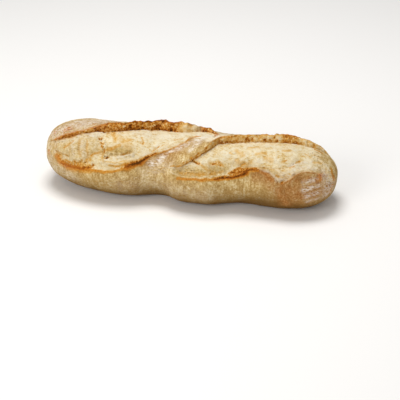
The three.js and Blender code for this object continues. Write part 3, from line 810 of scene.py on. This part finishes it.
# %% Hex to linear, and one helper that adds a node
def linear(hex_colour):
    parts = [int(hex_colour[i:i + 2], 16) / 255 for i in (1, 3, 5)]
    return (*[c / 12.92 if c <= 0.04045 else ((c + 0.055) / 1.055) ** 2.4 for c in parts], 1.0)


def add_node(kind, inputs=None, out=0, stops=(), **settings):
    """Add a shader node to the tree in hand, set it, link it, and return one of its outputs."""
    node = tree.nodes.new("ShaderNode" + kind)
    for key, value in settings.items():
        setattr(node, key, value)
    for key, value in (inputs or {}).items():
        if isinstance(value, bpy.types.NodeSocket):
            tree.links.new(value, node.inputs[key])
        else:
            node.inputs[key].default_value = value
    for i, (position, hex_colour) in enumerate(stops):
        elements = node.color_ramp.elements
        element = elements[i] if i < 2 else elements.new(position)
        element.position, element.color = position, linear(hex_colour)
    return node.outputs[out] if len(node.outputs) else None


print("sRGB #808080 is", round(linear("#808080")[0], 3), "in linear light")


# %% The bread's tree, its marks and its grains
# Baked starch scatters light inside its pores, so bread looks soft and warm and has no highlight.
bread = bpy.data.materials.new("baked_wheat_bread")
bread.use_nodes = True
tree = bread.node_tree
tree.nodes.clear()
skin_place = add_node("TexCoord", out="Object")
read = {
    name: add_node("Attribute", out="Fac", attribute_name=name)
    for name in (*MARK_NAMES, "relief")}
# Real flour and blisters are about 0.5 mm across, too fine to show from this far, so the finest
# grains here are drawn about three times as coarse.
GRAINS = {  # grain in mm, stretch along x, y and z, detail, roughness
    "crust fine": (1.8, (1, 1, 1), 5, 0.72),
    "crust broad": (10, (1, 1, 1), 2, 0.5),
    "crust drawn": (2.3, (1, 0.22, 0.22), 5, 0.7),
    "crumb fine": (1.7, (0.5, 1, 1), 6, 0.78),
    "crumb broad": (8, (0.8, 1, 1), 3, 0.6),
    "ragged edge": (4.5, (1, 1, 1), 5, 0.66),
    "toast": (2.1, (1, 1, 1), 4, 0.72),
    "flour": (1.8, (0.4, 1, 1.3), 4, 0.7),
}
grain = {}
for i, (name, (size, stretch, detail, roughness)) in enumerate(GRAINS.items()):
    placed = add_node("Mapping", {
        "Vector": skin_place, "Location": (0.37 * i, 0.11 * i, 0.23 * i), "Scale": stretch})
    grain[name] = add_node("TexNoise", {
        "Vector": placed, "Scale": 1000 / size, "Detail": detail, "Roughness": roughness})
print("grains:", ", ".join(f"{name} {values[0]} mm" for name, values in GRAINS.items()))

# %% Crust: tan, blotched, with flour drawn out into faint upright streaks as the dough swelled
level = -1.24
for name, weight in (("crust fine", 1.6), ("crust broad", 0.85), ("crust drawn", 0.98)):
    level = add_node("Math", {0: grain[name], 1: weight, 2: level}, operation="MULTIPLY_ADD")
crust_colour = add_node("ValToRGB", {"Fac": level}, stops=[
    (0.16, "#a6824a"), (0.38, "#c19d61"), (0.56, "#d4b67b"), (0.76, "#e9d6ab")])
print("crust mixed,", len(tree.nodes), "nodes so far")

# %% Crumb: cream, straw and gold by noise, with painted light on its crests and painted shade in its hollows
level = -1.08
# The relief term is painted light and shade: raised crumb lighter, sunken crumb darker.
for part, weight in ((grain["crumb fine"], 1.85), (grain["crumb broad"], 0.9), (read["relief"], 0.5)):
    level = add_node("Math", {0: part, 1: weight, 2: level}, operation="MULTIPLY_ADD")
crumb_colour = add_node("ValToRGB", {"Fac": level}, stops=[
    (0.12, "#c6944b"), (0.29, "#e0bb76"), (0.45, "#eed7a5"), (0.68, "#f9ebcb")])
edge = add_node("Math", {
    0: grain["ragged edge"], 1: 1.2, 2: -0.6}, operation="MULTIPLY_ADD")
edge = add_node("Math", {0: edge, 1: read["crumb"]}, operation="ADD")
crumb_here = add_node("MapRange", {
    "Value": edge, "From Min": 0.35, "From Max": 0.65}, interpolation_type="SMOOTHSTEP")
colour = add_node(
    "Mix", {0: crumb_here, 6: crust_colour, 7: crumb_colour}, out=2, data_type="RGBA")
print("crumb mixed,", len(tree.nodes), "nodes so far")

# %% Hollows are duller, partly their own tan and partly painted shade; the crust is darker towards the base, painted shade with some browning from the hot stone
level = -0.37
for name, weight in (("crumb fine", 1.1), ("crust drawn", 0.8)):
    level = add_node("Math", {0: grain[name], 1: weight, 2: level}, operation="MULTIPLY_ADD")
dried_colour = add_node("ValToRGB", {"Fac": level}, stops=[
    (0.36, "#9c763a"), (0.5, "#b99451"), (0.64, "#d0af6b"), (0.8, "#ead4a2")])
# The dried mark's tan is partly the crumb's own dull colour and partly painted shade in hollows.
dried = add_node("Math", {0: grain["crumb broad"], 1: 1.5, 2: -0.1}, operation="MULTIPLY_ADD")
dried = add_node("Math", {0: dried, 1: read["dried"]}, operation="MULTIPLY", use_clamp=True)
colour = add_node("Mix", {0: dried, 6: colour, 7: dried_colour}, out=2, data_type="RGBA")
# The sole mark is painted shade under the belly, with some real browning from the stone.
sole = add_node("Math", {0: read["sole"], 1: 0.95}, operation="MULTIPLY")
colour = add_node("Mix", {0: sole, 6: colour, 7: linear("#775628")}, out=2, data_type="RGBA")
print("dried crumb and sole mixed,", len(tree.nodes), "nodes so far")

# %% Bulges that lost their flour blush pinkish brown
blush_colour = add_node("ValToRGB", {"Fac": grain["crust fine"]}, stops=[
    (0.36, "#905a28"), (0.5, "#ab743d"), (0.64, "#c79a62")])
blush = add_node("Math", {0: grain["ragged edge"], 1: 1.6, 2: 0.1}, operation="MULTIPLY_ADD")
blush = add_node("Math", {0: blush, 1: read["blush"]}, operation="MULTIPLY", use_clamp=True)
colour = add_node("Mix", {0: blush, 6: colour, 7: blush_colour}, out=2, data_type="RGBA")
print("blush mixed,", len(tree.nodes), "nodes so far")

# %% [markdown]
# ## Toasted edges
# Thin edges stood up into the heat and toasted. A brown laid over the crumb by its mark alone
# would end in an even rim, like a sticker. Real toasting starts as a clear golden stain that
# lets the crumb show through, so here the mark first multiplies the colour under it, and only
# then turns to a brown of its own. Torn dough toasts in patches, so there a noise is added.

# %% Toast: it stains the skin gold, then covers it brown, patchy on torn dough and even on lips
unevenness = add_node("Math", {0: grain["toast"], 1: 2.6, 2: -1.3}, operation="MULTIPLY_ADD")
torn_share = add_node("Math", {0: read["crumb"], 1: 0.55, 2: 0.45}, operation="MULTIPLY_ADD")
unevenness = add_node("Math", {0: unevenness, 1: torn_share}, operation="MULTIPLY")
for start, full in ((0.2, 0.5), (1.5, 0.7)):  # none where barely toasted, less where darkest
    share = add_node("MapRange", {"Value": read["toast"], "From Min": start, "From Max": full})
    unevenness = add_node("Math", {0: unevenness, 1: share}, operation="MULTIPLY")
toasted = add_node("Math", {0: read["toast"], 1: unevenness}, operation="ADD")
stain = add_node("ValToRGB", {"Fac": toasted}, stops=[
    (0.1, "#ffffff"), (0.3, "#f5d8a0"), (0.5, "#e2ae68"), (0.7, "#c88640")])
colour = add_node("Mix", {
    0: 1.0, 6: colour, 7: stain}, out=2, data_type="RGBA", blend_type="MULTIPLY")
toast_colour = add_node("ValToRGB", {"Fac": toasted}, stops=[
    (0.36, "#e0ab50"), (0.56, "#cf8931"), (0.76, "#b0651d"), (0.95, "#894a13"), (1.0, "#5c360f")])
toast_here = add_node("MapRange", {
    "Value": toasted, "From Min": 0.26, "From Max": 0.66}, interpolation_type="SMOOTHSTEP")
colour = add_node("Mix", {0: toast_here, 6: colour, 7: toast_colour}, out=2, data_type="RGBA")
print("toast mixed,", len(tree.nodes), "nodes so far")

# %% [markdown]
# ## Flour and pits
# Flour from the basket lies on top of all that the oven browned, as a dusting that skips the low
# spots, so it is mixed in last; on raised crumb the same white paints highlights. The smallest pits
# are under 3 mm and far too many for strokes. A pattern of scattered cells gives each a round dark
# floor of painted shade, only where the pits mark says so.

# %% Flour lies in patches and paints highlights on raised crumb, and small pits hold painted shadow
PIT_SPACING = 2.6  # mm
floured = add_node("MapRange", {"Value": grain["flour"], "From Min": 0.42, "From Max": 0.55})
floured = add_node("Math", {0: floured, 1: read["flour"]}, operation="MULTIPLY", use_clamp=True)
colour = add_node("Mix", {0: floured, 6: colour, 7: linear("#f8efe0")}, out=2, data_type="RGBA")
pit = add_node("TexVoronoi", {"Vector": skin_place, "Scale": 1000 / PIT_SPACING})
pit = add_node("MapRange", {
    "Value": pit, "From Min": 0.14, "From Max": 0.36, "To Min": 1.0, "To Max": 0.0})
pit = add_node("Math", {0: pit, 1: read["pits"]}, operation="MULTIPLY", use_clamp=True)
colour = add_node("Mix", {0: pit, 6: colour, 7: linear("#835724")}, out=2, data_type="RGBA")
print("flour and pits mixed,", len(tree.nodes), "nodes so far")

# %% The finish: fine crackle in the height, a matt shader
CRACKLE_HEIGHT = 0.0014  # metres from the bottom of the crackle to its top
ROUGHNESS, SHINE = 0.9, 0.05  # dry starch: an IOR of about 1.5, but pores take nearly all its shine
crackle = add_node("Math", {0: grain["crumb fine"], 1: read["crumb"]}, operation="MULTIPLY")
crackle = add_node("Math", {0: grain["crust fine"], 1: crackle}, operation="ADD")
crackle = add_node("Math", {0: crackle, 1: pit}, operation="SUBTRACT")
normal = add_node("Bump", {"Height": crackle, "Strength": 0.95, "Distance": CRACKLE_HEIGHT})
finish = add_node("BsdfPrincipled", {
    "Base Color": colour, "Roughness": ROUGHNESS, "Specular IOR Level": SHINE, "Normal": normal})
add_node("OutputMaterial", {"Surface": finish})
loaf.data.materials.clear()
loaf.data.materials.append(bread)
print("bread material has", len(tree.nodes), "nodes")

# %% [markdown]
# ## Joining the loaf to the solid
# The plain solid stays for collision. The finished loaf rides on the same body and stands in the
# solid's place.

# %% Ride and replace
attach(loaf, "root")
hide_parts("loaf")
print(loaf.name, "stands in for the solid loaf")

# %% [markdown]
# ## Floor and light
# A pale floor, a big soft light overhead, a little to the left and behind, and a weaker one at
# the front left. A single lamp would do, but small lamps cut hard shadows, and these wide disks
# leave the loaf's top bright and turn its belly gently into shade.

# %% The floor
FLOOR_SIZE, FLOOR_DROP = 6, 0.0002  # metres; a hair under the loaf, so that the two don't flicker
bpy.ops.object.select_all(action="DESELECT")
bpy.ops.mesh.primitive_plane_add(size=FLOOR_SIZE, location=(0, 0, -FLOOR_DROP))
floor = bpy.context.object
floor.name = "floor"
# Uncoated studio paper: bright and even, with no gloss to catch the lights.
paper = bpy.data.materials.new("matt_white_paper")
paper.use_nodes = True
paper.node_tree.nodes["Principled BSDF"].inputs["Base Color"].default_value = linear("#faf8f5")
paper.node_tree.nodes["Principled BSDF"].inputs["Roughness"].default_value = 0.9
floor.data.materials.append(paper)
print("floor is", FLOOR_SIZE, "m wide")


# %% The lights
def soft_light(name, place, size, power, aim=(0, 0, 0.03)):
    bpy.ops.object.light_add(type="AREA", location=place)
    light = bpy.context.object
    light.name = name
    light.data.shape = "DISK"
    light.data.size = size
    light.data.energy = power
    light.rotation_euler = (Vector(aim) - Vector(place)).to_track_quat("-Z", "Y").to_euler()


soft_light("overhead", (-0.12, 0.15, 1.25), 0.7, 9.8)
soft_light("front fill", (-0.5, -1.2, 0.6), 0.8, 8)
world = bpy.data.worlds.new("studio")
world.use_nodes = True
world.node_tree.nodes["Background"].inputs["Color"].default_value = linear("#ffffff")
world.node_tree.nodes["Background"].inputs["Strength"].default_value = 0.4
bpy.context.scene.world = world
bpy.context.scene.view_settings.view_transform = "Standard"
